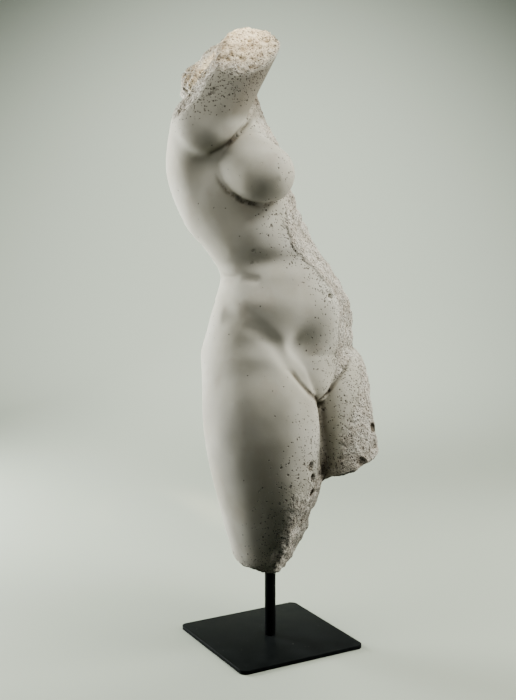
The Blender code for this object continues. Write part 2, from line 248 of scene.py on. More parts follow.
def crease(p, path, half_width, depth):
    """Soft furrow along a path over the skin."""
    path = np.asarray(path, float)
    best = np.full(p.shape[:-1], 1e9)
    for start, end in zip(path[:-1], path[1:]):
        best = np.minimum(best, limb(p, start, end, 0.0, 0.0))
    return depth * np.exp(-((best / half_width) ** 2))


def fold(p, path, half_width, depth):
    """Narrow furrow that runs in from SEEN_FROM, fading towards the start of its path."""
    flatten = np.array([seen(1, 0, 0), np.multiply(seen(0, 1, 0), 0.25), (0, 0, 1)]).T
    p, path = p @ flatten, np.asarray(path, float) @ flatten
    fade = np.clip(np.linalg.norm(p - path[0], axis=-1) / 22.0, 0.0, 1.0)
    return fade * crease(p, path, half_width, depth)


def corner_value(cell, seed):
    """Fixed number between -1 and 1 for each corner of a lattice."""
    mix = (cell[..., 0] * 73856093) ^ (cell[..., 1] * 19349663) ^ (cell[..., 2] * 83492791) ^ (seed * 40503)
    mix = ((mix ^ (mix >> 13)) * 60493) & 0xFFFFFFFF
    mix = (mix ^ (mix >> 7)) & 0xFFFF
    return mix / 32767.5 - 1.0


def lumps(p, size, seed):
    """Lumpy relief between about -1 and 1, the same on every run."""
    q = p / size
    cell = np.floor(q).astype(np.int64)
    t = q - cell
    t = t * t * (3.0 - 2.0 * t)
    total = 0.0
    for dx in (0, 1):
        for dy in (0, 1):
            for dz in (0, 1):
                step = np.array((dx, dy, dz))
                weight = np.where(step == 1, t, 1.0 - t).prod(-1)
                total = total + weight * corner_value(cell + step, seed)
    return total


def broken_relief(p):
    """Relief of the broken faces."""
    return 4.2 * lumps(p, 27.0, 3) + 2.2 * lumps(p, 12.0, 5)


TRUNK_CURVE = smooth_sections(TRUNK)
RIGHT_THIGH_CURVE = smooth_sections(RIGHT_THIGH)
LEFT_THIGH_CURVE = smooth_sections(LEFT_THIGH)
LEFT_BREAK_CURVE = smooth_sections(LEFT_BREAK)


def left_break(p):
    """Broken left side: a slanted face back from the edge of the skin, then straight back."""
    z = p[..., 2]
    edge, front, width = (np.interp(z, LEFT_BREAK_CURVE[:, 0], LEFT_BREAK_CURVE[:, i]) for i in (1, 2, 3))
    slant = (p[..., 0] - edge - 2.0 * (p[..., 1] - front)) / math.sqrt(5.0)
    straight = (p[..., 0] - edge - width) * 0.95
    return smooth_max(slant, straight, 8.0)


def back_furrows(p):
    """Line of the spine and the parting of the buttocks."""
    z = p[..., 2]
    middle_x, middle_y = (np.interp(z, TRUNK_CURVE[:, 0], TRUNK_CURVE[:, i]) for i in (1, 2))
    behind = np.clip((p[..., 1] - middle_y - 20.0) / 30.0, 0.0, 1.0)
    spine = 6.0 * np.exp(-(((p[..., 0] - middle_x) / 12.0) ** 2))
    spine = spine * np.clip((z - 330.0) / 40.0, 0.0, 1.0) * np.clip((670.0 - z) / 60.0, 0.0, 1.0)
    parting = 16.0 * np.exp(-(((p[..., 0] - 45.0) / 8.0) ** 2))
    parting = parting * np.clip((z - 225.0) / 25.0, 0.0, 1.0) * np.clip((345.0 - z) / 60.0, 0.0, 1.0)
    return behind * (spine + parting)


def trunk(p, relief):
    """Chest, belly, hips and right shoulder, with the left side broken away."""
    d = lofted(p, TRUNK_CURVE, 40.0)
    d = smooth_min(d, ellipsoid(p, (2, 52, 291), (60, 56, 64)), 22.0)
    d = smooth_min(d, ellipsoid(p, (90, 52, 289), (60, 56, 64)), 22.0)
    d = smooth_min(d, ellipsoid(p, (41, -24, 291), (50, 44, 44)), 18.0)
    d = smooth_min(d, ellipsoid(p, (31, -42, 277), (37, 33, 35)), 12.0)
    d = smooth_min(d, ellipsoid(p, (-50, 8, 603), (48, 32, 48), (14, 0, -10)), 30.0)
    d = smooth_min(d, ellipsoid(p, (-80, 46, 628), (48, 44, 52)), 26.0)
    d = d + back_furrows(p)
    edge = np.interp(p[..., 2], LEFT_BREAK_CURVE[:, 0], LEFT_BREAK_CURVE[:, 1])
    inward = np.clip((p[..., 0] - edge - 4.0) / 26.0, 0.12, 1.0)
    return smooth_max(d, left_break(p) - 1.5 + inward * (relief + 3.0 * lumps(p, 80.0, 11)), 5.0)


def inner_break(p):
    """Chipped inner edge of the right thigh."""
    return cut_plane(p, (6, -62, 93), seen(0.88, -0.28, -0.40))


def outer_break(p):
    """Broken outer side of the left thigh."""
    return cut_plane(p, (128, -60, 223), (0.95, -0.28, -0.12))


def lower_break(p):
    """Broken lower end of the left thigh."""
    return cut_plane(p, (100, -60, 155), seen(0.40, 0.0, -0.92))


def right_thigh(p, relief):
    """Standing thigh, broken above the knee and chipped along its inner edge."""
    d = lofted(p, RIGHT_THIGH_CURVE, 24.0, 0.6 * relief)
    return smooth_max(d, inner_break(p) + relief, 3.0)


def left_thigh(p, relief):
    """Advanced thigh, broken off short and down its outer side."""
    wide_relief = 7.0 * lumps(p, 62.0, 9)
    d = lofted(p, LEFT_THIGH_CURVE, 26.0) + crease(p, [(36, -75, 256), (36, -79, 140)], 15.0, 9.0)
    d = smooth_max(d, outer_break(p) + relief + wide_relief, 5.0)
    return smooth_max(d, lower_break(p) + relief, 5.0)


def breast(p):
    """Right breast."""
    d = ellipsoid(p, (-55, -36, 573), (46, 43, 41.5), (0, 0, -20))
    d = smooth_min(d, ellipsoid(p, (-57, -9, 588), (42, 31, 42), (14, 0, -10)), 22.0)
    d = smooth_min(d, ellipsoid(p, (-60, -65, 571), (12, 10, 12)), 7.0)
    return smooth_min(d, ellipsoid(p, (-61, -74, 570), (4.5, 4.5, 4.5)), 4.0)


def top_break(p):
    """Broken face across the raised arm and the neck."""
    return cut_plane(p, (-60, 10, 771), seen(0.02, -0.71, 0.70))


def arm_split(p):
    """Face along the back of the arm, where it is split away."""
    return cut_plane(p, (-130, -5, 689), seen(-0.93, -0.32, 0.62))


def arm(p, relief):
    """Raised right upper arm, broken below the elbow's height and split away along its back."""
    d = limb(p, (-103, 20, 639), (-66, -35, 755), 44.0, 37.5)
    d = smooth_max(d, top_break(p) + relief + 2.4 * lumps(p, 9.0, 15), 2.0)
    d = smooth_max(d, -ellipsoid(p, (-92, -56, 712), (15, 13, 9)) + 0.4 * relief, 3.0)
    return smooth_max(d, arm_split(p) + 0.6 * relief, 2.0)


def neck(p, relief):
    """Stump of the neck and the thrown back head."""
    d = limb(p, (-16, 62, 661), (-24, 88, 725), 40.0, 42.0)
    d = smooth_min(d, ellipsoid(p, (-32, 84, 688), (44, 44, 46)), 20.0)
    d = d + 0.5 * relief * np.clip((p[..., 2] - 650.0) / 30.0, 0.0, 1.0)
    d = smooth_max(d, top_break(p) + relief, 3.0)
    return smooth_max(d, cut_plane(p, (-36, 70, 743), seen(-0.60, -0.25, 0.76)) + relief, 3.0)


def figure(p, relief=None, neck_relief=None):
    """Signed distance, nearly, to the skin of the whole figure."""
    if relief is None:
        relief = neck_relief = broken_relief(p)
    hip_blend = np.interp(p[..., 0], [-30.0, 5.0], [22.0, 2.5])
    d = smooth_min(trunk(p, relief), right_thigh(p, relief), hip_blend)
    for row in SWELLINGS:
        d = d + swelling(p, *row)
    for row in CREASES:
        d = d + crease(p, *row)
    d = smooth_min(d, left_thigh(p, relief), 2.5)
    d = smooth_min(d, breast(p), 2.0)
    shoulder_blend = np.interp(p[..., 1], [5.0, 55.0], [2.5, 26.0])
    d = smooth_min(d, arm(p, relief), shoulder_blend)
    d = d + np.max([fold(p, *row) for row in FOLDS], axis=0)
    return smooth_min(d, neck(p, neck_relief), 5.0)


def bore(p):
    """Signed distance to the solid round the rod's blind bore, which is empty."""
    radius = (ROD_HIGH[0] - ROD_LOW[0]) / 2 / PART + BORE_CLEARANCE / PART
    end = (BORE_END - THIGH_END) / PART
    return -np.maximum(np.hypot(p[..., 0], p[..., 1]) - radius, p[..., 2] - end)


def chipped(p):
    """Signed distance, nearly, to the chips knocked out of the skin, and to the gas holes in it."""
    d = ellipsoid(p, *CHIPS[0])
    for row in CHIPS[1:]:
        d = np.minimum(d, ellipsoid(p, *row))
    return d + 1.2 * lumps(p, 7.0, 61)


def bored_figure(p):
    """Signed distance, nearly, to the figure with its bore."""
    return np.maximum(smooth_max(figure(p), -chipped(p), 1.0), bore(p))


def unbroken_figure(p):
    """Signed distance, nearly, to the figure with its broken faces farther out."""
    return figure(p, np.full(p.shape[:-1], -30.0), np.full(p.shape[:-1], -16.0))


def nearest_break(p):
    """Distance over the skin to the breaks of the side and the thighs, below 0 on the skin."""
    x, z = p[..., 0], p[..., 2]
    edge = np.interp(z, LEFT_BREAK_CURVE[:, 0], LEFT_BREAK_CURVE[:, 1])
    behind = p[..., 1] > 0.0
    over_fold = (x < 20.0) | (z > 256.0 + 0.6 * (x - 15.0)) | behind
    over_thigh = (z > 262.0) | behind
    side = x - edge - np.interp(z, [300.0, 400.0, 440.0, 500.0, 530.0], [9.0, 15.0, 8.0, 0.0, 12.0])
    side = np.where(over_fold & over_thigh, side, -FAR)
    low = np.where(x < 40.0, inner_break(p), -FAR)
    foot = np.where(x < 50.0, 2.0 - 1.5 * z, -FAR)
    right = (x - p[..., 1]) * math.sqrt(0.5)
    outline = right - np.interp(z, [150.0, 180.0, 240.0, 300.0], [97.0, 110.0, 127.0, 142.0])
    thigh = np.max([outline, outer_break(p), lower_break(p)], axis=0)
    thigh = np.where((x > 20.0) & ~over_fold, thigh, -FAR)
    return np.max([side, low, foot, thigh], axis=0)


def reach_with_head(p, reach):
    """Distance over the skin to any break, from that to the breaks of the side and the thighs."""
    head = np.maximum(top_break(p), arm_split(p))
    return np.maximum(reach, head - np.interp(p[..., 2], [600.0, 670.0], [FAR, 0.0]))


def slope_of(form, p, probe):
    """Way and rate of a form's steepest rise at each point."""
    steps = probe * np.eye(3)
    return np.stack([form(p + step) - form(p - step) for step in steps], -1) / (2.0 * probe)


def nearest_grain(p, size, seed):
    """Distance to the nearest of scattered points, and a fixed number for each of those points."""
    cell = np.floor(p / size).astype(np.int64)
    best = np.full(p.shape[:-1], 1e9)
    number = np.zeros(p.shape[:-1])
    for offset in np.ndindex(3, 3, 3):
        near = cell + np.array(offset) - 1
        jitter = np.stack([corner_value(near, seed + i) for i in range(3)], -1)
        reach = np.linalg.norm((near + 0.5 + 0.42 * jitter) * size - p, axis=-1)
        closer = reach < best
        best = np.where(closer, reach, best)
        number = np.where(closer, corner_value(near, seed + 3), number)
    return best, number


def pitted(p, size, share, seed):
    """Round pits: 1 in the middle of a pit, 0 outside."""
    reach, number = nearest_grain(p, size, seed)
    radius = size * (0.22 + 0.16 * np.abs(number))
    return np.where(number > 1.0 - 2.0 * share, np.clip(1.0 - (reach / radius) ** 2, 0.0, 1.0), 0.0)


def broken_grain(p):
    """Fine relief of a broken face, in parts above it."""
    grain = 1.0 * lumps(p, 7.0, 21) + 0.8 * lumps(p, 3.6, 23)
    return grain - 2.6 * pitted(p, 13.0, 0.45, 31) - 1.5 * pitted(p, 6.5, 0.40, 41)


def skin_relief(p):
    """Faint unevenness of the cast skin, in parts above it."""
    return 1.1 * lumps(p, 36.0, 51) + 0.22 * lumps(p, 13.0, 53)


def to_parts(points):
    """Points of the frame in the figure's own parts."""
    turn = np.array(Matrix.Rotation(FIGURE_TURN, 3, "Z"))
    return ((points - np.array((0.0, 0.0, THIGH_END))) @ turn) / PART


def to_frame(parts):
    """Points in the figure's own parts put back in the frame."""
    turn = np.array(Matrix.Rotation(FIGURE_TURN, 3, "Z"))
    return (parts * PART) @ turn.T + np.array((0.0, 0.0, THIGH_END))


def add_piece(name, mesh, mat):
    """New object at the origin, with its place in its mesh, that rides on the part's one body."""
    piece = bpy.data.objects.new(name, mesh)
    bpy.context.scene.collection.objects.link(piece)
    mesh.materials.clear()
    mesh.materials.append(mat)
    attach(piece, "root")
    return piece


def modified_mesh(mesh, kind, settings):
    """Mesh with one modifier applied."""
    obj = bpy.data.objects.new("work", mesh)
    bpy.context.scene.collection.objects.link(obj)
    modifier = obj.modifiers.new("shape", kind)
    for key, value in settings.items():
        setattr(modifier, key, value)
    graph = bpy.context.evaluated_depsgraph_get()
    made = bpy.data.meshes.new_from_object(obj.evaluated_get(graph), depsgraph=graph)
    bpy.data.objects.remove(obj)
    return made


def remeshed(mesh, voxel):
    """Mesh of even faces, about as wide as voxel."""
    return modified_mesh(mesh, "REMESH", {"mode": "VOXEL", "voxel_size": voxel})


def merged_copy(node):
    """Copy of a node's mesh with its loose triangles joined."""
    bm = bmesh.new()
    bm.from_mesh(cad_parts[node].data)
    bmesh.ops.remove_doubles(bm, verts=bm.verts, dist=1e-5)
    mesh = bpy.data.meshes.new(node + "_copy")
    bm.to_mesh(mesh)
    bm.free()
    return mesh


def mesh_points(mesh):
    """Points of a mesh, one in each row."""
    flat = np.empty(len(mesh.vertices) * 3)
    mesh.vertices.foreach_get("co", flat)
    return flat.reshape(-1, 3)


def store_mask(mesh, name, values):
    """Number on each point of the mesh, for its material."""
    layer = mesh.attributes.new(name, "FLOAT", "POINT")
    layer.data.foreach_set("value", values.astype(np.float32))


def fold_lines(p):
    """1 along the crisp folds, falling to 0 beside them; sets where painted shade darkens the folds."""
    return np.max([fold(p, path, 0.8 * half_width, 1.0) for path, half_width, _ in FOLDS], axis=0)


def thigh_gap(p):
    """1 where the two thighs meet, falling to 0 beside it; sets where painted shade darkens the gap."""
    apart = right_thigh(p, 0.0) - left_thigh(p, 0.0)
    below = np.clip((258.0 - p[..., 2]) / 6.0, 0.0, 1.0) * np.clip((p[..., 2] - 140.0) / 12.0, 0.0, 1.0)
    return below * np.exp(-((apart / 13.0) ** 2))


def painted_shade(p, out):
    """Painted shade, from 0 to 1: darkening in wide hollows, on the split of the neck and under the raised
    arm, where shade falls.
    """
    hollow = 0.26 * np.clip(1.0 - figure(p + 28.0 * out) / 28.0, 0.0, 1.0)
    high = np.clip((p[..., 2] - 640.0) / 12.0, 0.0, 1.0)
    split = high * np.clip((arm_split(p) + 5.0) / 6.0, 0.0, 1.0)
    right = (p[..., 0] - p[..., 1]) * math.sqrt(0.5) - np.interp(p[..., 2], [640.0, 755.0], [-87.0, -22.0])
    below = high * np.clip((right - 4.0) / 26.0, 0.0, 1.0) * np.clip(-top_break(p) / 4.0, 0.0, 1.0)
    return np.maximum(hollow, np.maximum(0.60 * split, below))


def moved_to_skin(mesh, steps):
    """Moves the mesh's points onto the skin of the bored figure, and gives them in parts."""
    p = to_parts(mesh_points(mesh))
    probe = 0.7
    for _ in range(steps):
        here = bored_figure(p)
        slope = np.stack([bored_figure(p + probe * axis) - here for axis in np.eye(3)], -1) / probe
        length = np.maximum((slope * slope).sum(-1), 0.3)
        p = p - slope * (np.clip(here, -3.0, 3.0) / length)[:, None]
    mesh.vertices.foreach_set("co", to_frame(p).ravel())
    mesh.update()
    return p


def broken_share(p, reach, depth):
    """1 on the broken faces and their ragged border, 0 on whole skin."""
    border = reach + 13.0 + 6.0 * lumps(p, 42.0, 75) + 7.0 * lumps(p, 17.0, 71) + 3.0 * lumps(p, 6.0, 73)
    return np.maximum(np.clip((depth - 0.8) / 2.2, 0.0, 1.0), np.clip(border / 6.0, 0.0, 1.0))


def clear_of_bore(p):
    """0 round the rod, where the plaster isn't carved finer, and 1 away from it."""
    outside = np.clip((np.hypot(p[..., 0], p[..., 1]) - 10.0) / 4.0, 0.0, 1.0)
    return np.maximum(outside, np.clip((p[..., 2] - 95.0) / 5.0, 0.0, 1.0))


def carved_plaster(sizes):
    """Mesh of the fragment: the solid's form with its skin, folds, breaks and pits carved finer."""
    voxel = sizes.skin_voxel
    rough_cut = remeshed(merged_copy("torso"), sizes.rough_voxel)
    moved_to_skin(rough_cut, 6)
    mesh = remeshed(rough_cut, voxel)
    p = moved_to_skin(mesh, 3)
    slope = slope_of(bored_figure, p, 0.8)
    out = slope / np.maximum(np.linalg.norm(slope, axis=-1, keepdims=True), 1e-6)
    depth = -unbroken_figure(p)
    reach = nearest_break(p)
    broken = broken_share(p, reach, depth)
    nearby = np.clip(1.0 + reach_with_head(p, reach) / 75.0, 0.0, 1.0) ** 1.6
    coarser_on_top = np.interp(p[..., 2], [640.0, 680.0], [1.0, 1.7])
    grit = broken_grain(p)
    grain = coarser_on_top * sizes.break_relief * np.where(depth > 1.5, grit, 0.6 * (grit + 0.2))
    relief = broken * grain + (1.0 - broken) * skin_relief(p)
    p = p + out * (relief * clear_of_bore(p))[:, None]
    shelter_reach = 7.0
    shelter = np.clip(1.0 - figure(p + shelter_reach * out) / shelter_reach, 0.0, 1.0)
    mesh.vertices.foreach_set("co", to_frame(p).ravel())
    mesh.update()
    store_mask(mesh, "broken", broken)
    store_mask(mesh, "near_break", nearby)
    # Painted shade: narrow creases, the crisp folds and the gap between the thighs, darkened where shade
    # falls
    store_mask(mesh, "shelter", np.max([shelter, fold_lines(p), thigh_gap(p)], axis=0))
    # Painted shade in wide hollows, on the neck's split and under the raised arm
    store_mask(mesh, "painted_shade", painted_shade(p, out))
    faces = 2 * len(mesh.polygons)
    if faces > sizes.most_faces:
        mesh = modified_mesh(mesh, "DECIMATE", {"ratio": sizes.most_faces / faces})
    mesh.shade_smooth()
    return mesh


def rise(edge):
    """Height from one end of an edge to the other."""
    return abs(edge.verts[0].co.z - edge.verts[1].co.z)


def soften(bm, edges, offset, segments):
    """Round bevel along edges of a mesh in the making."""
    bmesh.ops.bevel(bm, geom=edges, offset=offset, offset_type="OFFSET", segments=segments, profile=0.5,
                    affect="EDGES", material=-1)


def rod_mesh(sizes):
    """Round rod with a small chamfer at each end."""
    low, high = ROD_LOW[2], ROD_HIGH[2]
    radius = (ROD_HIGH[0] - ROD_LOW[0]) / 2
    bm = bmesh.new()
    place = Matrix.Translation((0.0, 0.0, (low + high) / 2))
    bmesh.ops.create_cone(bm, cap_ends=True, segments=sizes.round_sides, radius1=radius, radius2=radius,
                          depth=high - low, matrix=place)
    soften(bm, [e for e in bm.edges if rise(e) < LEVEL], sizes.rod_chamfer, 3)
    return finished_mesh(bm, "stand_rod_mesh")


def plate_mesh(sizes):
    """Square plate with round corners and softened edges."""
    side = PLATE_HIGH[0] - PLATE_LOW[0]
    thickness = PLATE_HIGH[2] - PLATE_LOW[2]
    bm = bmesh.new()
    place = Matrix.Translation((0.0, 0.0, thickness / 2))
    bmesh.ops.create_cube(bm, size=1.0, matrix=place @ Matrix.Diagonal((side, side, thickness, 1.0)))
    soften(bm, [e for e in bm.edges if rise(e) > thickness / 2], sizes.plate_corner, 16)
    rims = [e for e in bm.edges if rise(e) < LEVEL and e.is_manifold
            and abs(e.calc_face_angle() - math.pi / 2) < 0.1]
    soften(bm, rims, sizes.plate_edge, 4)
    return finished_mesh(bm, "base_plate_mesh")


def finished_mesh(bm, name):
    """Mesh of a turned or cut piece, shaded round where it is round."""
    mesh = bpy.data.meshes.new(name)
    bm.to_mesh(mesh)
    bm.free()
    mesh.shade_smooth()
    mesh.set_sharp_from_angle(angle=math.radians(35.0))
    return mesh


class Graph:
    """Short way to place and join the nodes of one node tree."""

    def __init__(self, tree):
        self.tree = tree

    def feed(self, socket, value):
        """Joins a socket to an output, or gives it a plain value."""
        if isinstance(value, bpy.types.NodeSocket):
            self.tree.links.new(value, socket)
        else:
            socket.default_value = value

    def node(self, kind, settings=None, **inputs):
        made = self.tree.nodes.new(kind)
        for key, value in (settings or {}).items():
            setattr(made, key, value)
        for key, value in inputs.items():
            self.feed(made.inputs[key.replace("_", " ")], value)
        return made

    def sum(self, operation, a, b):
        """Mathematics on two numbers or sockets."""
        made = self.tree.nodes.new("ShaderNodeMath")
        made.operation = operation
        for socket, value in zip(made.inputs, (a, b)):
            self.feed(socket, value)
        return made.outputs[0]

    def blend(self, share, a, b, kind="MIX"):
        """Mix of two colours by a share."""
        made = self.tree.nodes.new("ShaderNodeMix")
        made.data_type = "RGBA"
        made.blend_type = kind
        for index, value in ((0, share), (6, a), (7, b)):
            self.feed(made.inputs[index], value)
        return made.outputs[2]

    def group(self, tree, **inputs):
        """Output of a shared effect."""
        return self.node("ShaderNodeGroup", {"node_tree": tree}, **inputs).outputs[0]

    def mask(self, name):
        """Number stored on the points of the mesh."""
        return self.node("ShaderNodeAttribute", {"attribute_name": name}).outputs["Fac"]


def new_group(name, inputs, output):
    """Empty node group with number inputs and one number output."""
    tree = bpy.data.node_groups.new(name, "ShaderNodeTree")
    tree.interface.new_socket(name="Place", in_out="INPUT", socket_type="NodeSocketVector")
    for key, value in inputs:
        socket = tree.interface.new_socket(name=key, in_out="INPUT", socket_type="NodeSocketFloat")
        socket.default_value = value
    tree.interface.new_socket(name=output, in_out="OUTPUT", socket_type="NodeSocketFloat")
    return tree, Graph(tree), tree.nodes.new("NodeGroupInput"), tree.nodes.new("NodeGroupOutput")


def mottle_group():
    """Cloudy patches, from 0 to 1, between two levels of the noise."""
    tree, graph, entry, end = new_group("mottle", (("Scale", 10.0), ("Low", 0.4), ("High", 0.6)), "Mask")
    noise = graph.node("ShaderNodeTexNoise", Vector=entry.outputs["Place"], Scale=entry.outputs["Scale"],
                       Detail=5.0, Roughness=0.55)
    levels = graph.node("ShaderNodeMapRange", {"interpolation_type": "SMOOTHSTEP"})
    tree.links.new(noise.outputs["Fac"], levels.inputs["Value"])
    tree.links.new(entry.outputs["Low"], levels.inputs["From Min"])
    tree.links.new(entry.outputs["High"], levels.inputs["From Max"])
    tree.links.new(levels.outputs["Result"], end.inputs["Mask"])
    return tree


def specks_group():
    """Scattered round specks: 1 in a speck, 0 outside. Share says how many of the places hold one."""
    tree, graph, entry, end = new_group("specks", (("Scale", 200.0), ("Share", 0.2), ("Width", 0.3)), "Mask")
    warp = graph.node("ShaderNodeTexNoise", Vector=entry.outputs["Place"], Scale=260.0, Detail=2.0)
    shifted = graph.node("ShaderNodeVectorMath", {"operation": "MULTIPLY_ADD"})
    tree.links.new(warp.outputs["Color"], shifted.inputs[0])
    shifted.inputs[1].default_value = (0.0022, 0.0022, 0.0022)
    tree.links.new(entry.outputs["Place"], shifted.inputs[2])
    cells = graph.node("ShaderNodeTexVoronoi", Vector=shifted.outputs[0], Scale=entry.outputs["Scale"])
    parts = graph.node("ShaderNodeSeparateColor", Color=cells.outputs["Color"])
    chosen = graph.sum("LESS_THAN", parts.outputs[0], entry.outputs["Share"])
    size = graph.sum("MULTIPLY", entry.outputs["Width"], graph.sum("ADD", parts.outputs[1], 0.35))
    inside = graph.node("ShaderNodeMapRange", {"interpolation_type": "SMOOTHSTEP"},
                        From_Min=1.0, From_Max=0.55)
    tree.links.new(graph.sum("DIVIDE", cells.outputs["Distance"], size), inside.inputs["Value"])
    tree.links.new(graph.sum("MULTIPLY", inside.outputs["Result"], chosen), end.inputs["Mask"])
    return tree


def grain_group():
    """Fine even grain, from 0 to 1."""
    tree, graph, entry, end = new_group("grain", (("Scale", 400.0), ("Detail", 4.0)), "Height")
    noise = graph.node("ShaderNodeTexNoise", Vector=entry.outputs["Place"], Scale=entry.outputs["Scale"],
                       Detail=entry.outputs["Detail"], Roughness=0.6)
    tree.links.new(noise.outputs["Fac"], end.inputs["Height"])
    return tree


def shared_groups():
    """The effects that the materials share, built once."""
    makers = {"mottle": mottle_group, "specks": specks_group, "grain": grain_group}
    return {name: bpy.data.node_groups.get(name) or maker() for name, maker in makers.items()}


def new_material(name, **plain):
    """Material with plain values on its shader."""
    mat = bpy.data.materials.new(name)
    mat.use_nodes = True
    shader = mat.node_tree.nodes["Principled BSDF"]
    for key, value in plain.items():
        shader.inputs[key.replace("_", " ")].default_value = value
    return mat, Graph(mat.node_tree), shader


def rgba(colour):
    return (*colour, 1.0)


def plaster_material(finish):
    """Dry cast plaster: a smooth mottled skin, and creamy, gritty, pitted breaks."""
    groups = shared_groups()
    mat, graph, shader = new_material("plaster", Specular_IOR_Level=0.25)
    links = mat.node_tree.links
    place = graph.node("ShaderNodeTexCoord").outputs["Object"]
    masks = [graph.mask(name) for name in ("broken", "near_break", "shelter", "painted_shade")]
    broken, near_break, shelter, painted_shade_share = masks

    clouds = graph.group(groups["mottle"], Place=place, Scale=11.0, Low=0.38, High=0.66)
    warm_patch = graph.group(groups["mottle"], Place=place, Scale=27.0, Low=0.54, High=0.70)
    grey_patch = graph.group(groups["mottle"], Place=place, Scale=6.0, Low=0.52, High=0.74)
    skin = graph.blend(clouds, rgba(finish.skin_colour), rgba(finish.pale_colour))
    skin = graph.blend(graph.sum("MULTIPLY", warm_patch, 0.50), skin, rgba(finish.warm_colour))
    skin = graph.blend(graph.sum("MULTIPLY", grey_patch, 0.42), skin, rgba(finish.grey_colour))
    rough_clouds = graph.group(groups["mottle"], Place=place, Scale=60.0, Low=0.35, High=0.65)
    rough = graph.blend(rough_clouds, rgba(finish.break_colour), rgba(finish.warm_colour))
    colour = graph.blend(broken, skin, rough)

    fine_share = graph.sum("ADD", graph.sum("MULTIPLY", near_break, 0.80), 0.005)
    fine_pits = graph.group(groups["specks"], Place=place, Scale=430.0, Share=fine_share, Width=0.52)
    wide_share = graph.sum("ADD", graph.sum("MULTIPLY", near_break, 0.26), 0.0012)
    wide_share = graph.sum("ADD", graph.sum("MULTIPLY", broken, 0.20), wide_share)
    wide_pits = graph.group(groups["specks"], Place=place, Scale=185.0, Share=wide_share, Width=0.36)
    pits = graph.sum("MAXIMUM", fine_pits, wide_pits)
    # Pits are dents in the bump; their dark colour is painted shade inside them
    colour = graph.blend(graph.sum("MULTIPLY", pits, 0.78), colour, rgba(finish.pit_shade_colour))
    # Painted shade: darkens the narrow creases, the crisp folds and the gap between the thighs
    painted_fold_shade = graph.sum("MULTIPLY", graph.sum("POWER", shelter, 1.5), 0.92)
    colour = graph.blend(painted_fold_shade, colour, rgba(finish.fold_shade_colour), "MULTIPLY")
    # Painted shade: darkens the wide hollows, the neck's split and the underside of the raised arm
    colour = graph.blend(graph.sum("MULTIPLY", painted_shade_share, 0.85), colour, rgba(finish.painted_shade_colour), "MULTIPLY")
    links.new(colour, shader.inputs["Base Color"])

    roughness = graph.sum("ADD", graph.sum("MULTIPLY", clouds, 0.10), 0.80)
    links.new(roughness, shader.inputs["Roughness"])

    fine = graph.group(groups["grain"], Place=place, Scale=520.0, Detail=4.0)
    coarse = graph.group(groups["grain"], Place=place, Scale=210.0, Detail=6.0)
    skin_height = graph.sum("MULTIPLY", fine, 0.10)
    break_height = graph.sum("MULTIPLY", graph.sum("MULTIPLY", coarse, 4.5), broken)
    height = graph.sum("ADD", skin_height, break_height)
    height = graph.sum("SUBTRACT", height, graph.sum("MULTIPLY", pits, 1.0))
    bump = graph.node("ShaderNodeBump", Strength=1.0, Distance=0.0011, Height=height)
    links.new(bump.outputs["Normal"], shader.inputs["Normal"])
    return mat


def steel_material(name, colour, roughness):
    """Satin black coat on steel: fine texture, faint clouds, a few light specks of dust."""
    groups = shared_groups()
    mat, graph, shader = new_material(name, Metallic=0.0, IOR=1.08)
    links = mat.node_tree.links
    place = graph.node("ShaderNodeTexCoord").outputs["Object"]
    clouds = graph.group(groups["mottle"], Place=place, Scale=24.0, Low=0.35, High=0.70)
    dust = graph.group(groups["specks"], Place=place, Scale=420.0, Share=0.012, Width=0.30)
    lighter = tuple(min(1.0, 1.5 * c + 0.002) for c in colour)
    coat = graph.blend(clouds, rgba(colour), rgba(lighter))
    coat = graph.blend(graph.sum("MULTIPLY", dust, 0.35), coat, (0.20, 0.20, 0.19, 1.0))
    links.new(coat, shader.inputs["Base Color"])
    dull = graph.sum("ADD", graph.sum("MULTIPLY", clouds, 0.10), roughness)
    links.new(graph.sum("ADD", dull, graph.sum("MULTIPLY", dust, 0.3)), shader.inputs["Roughness"])
    texture = graph.group(groups["grain"], Place=place, Scale=900.0, Detail=2.0)
    bump = graph.node("ShaderNodeBump", Strength=0.35, Distance=0.00012, Height=texture)
    links.new(bump.outputs["Normal"], shader.inputs["Normal"])
    return mat


def studio_point(right, away, up):
    """Place given as seen along the camera's heading."""
    return Vector(over_floor(VIEW_TURN, right, away, up))


def hang(name, lamp, place, target):
    """Hangs a lamp in the studio and aims it at a place."""
    obj = bpy.data.objects.new(name, lamp)
    bpy.context.scene.collection.objects.link(obj)
    obj.location = studio_point(*place)
    obj.rotation_euler = (studio_point(*target) - obj.location).to_track_quat("-Z", "Y").to_euler()


def soft_box(name, place, target, width, height, power, colour):
    """Rectangular soft light aimed at a place."""
    lamp = bpy.data.lights.new(name, "AREA")
    lamp.shape = "RECTANGLE"
    lamp.size = width
    lamp.size_y = height
    lamp.energy = power
    lamp.color = colour
    hang(name, lamp, place, target)


def add_spot(name, place, target, cone, power, colour):
    """Narrow soft spot light aimed at a place."""
    lamp = bpy.data.lights.new(name, "SPOT")
    lamp.energy = power
    lamp.color = colour
    lamp.spot_size = math.radians(cone)
    lamp.spot_blend = 1.0
    lamp.shadow_soft_size = 0.04
    hang(name, lamp, place, target)


def pulled_sideways(name, outline, width):
    """Sheet made by pulling a line, given as distance away and height, sideways to a width."""
    bm = bmesh.new()
    verts = [bm.verts.new((-width / 2, away, up)) for away, up in outline]
    edges = [bm.edges.new(pair) for pair in zip(verts[:-1], verts[1:])]
    pulled = bmesh.ops.extrude_edge_only(bm, edges=edges)
    moved = [v for v in pulled["geom"] if isinstance(v, bmesh.types.BMVert)]
    bmesh.ops.translate(bm, verts=moved, vec=(width, 0.0, 0.0))
    bmesh.ops.recalc_face_normals(bm, faces=bm.faces)
    bmesh.ops.rotate(bm, verts=bm.verts, cent=(0.0, 0.0, 0.0), matrix=Matrix.Rotation(-VIEW_TURN, 3, "Z"))
    mesh = bpy.data.meshes.new(name)
    bm.to_mesh(mesh)
    bm.free()
    mesh.shade_smooth()
    return mesh


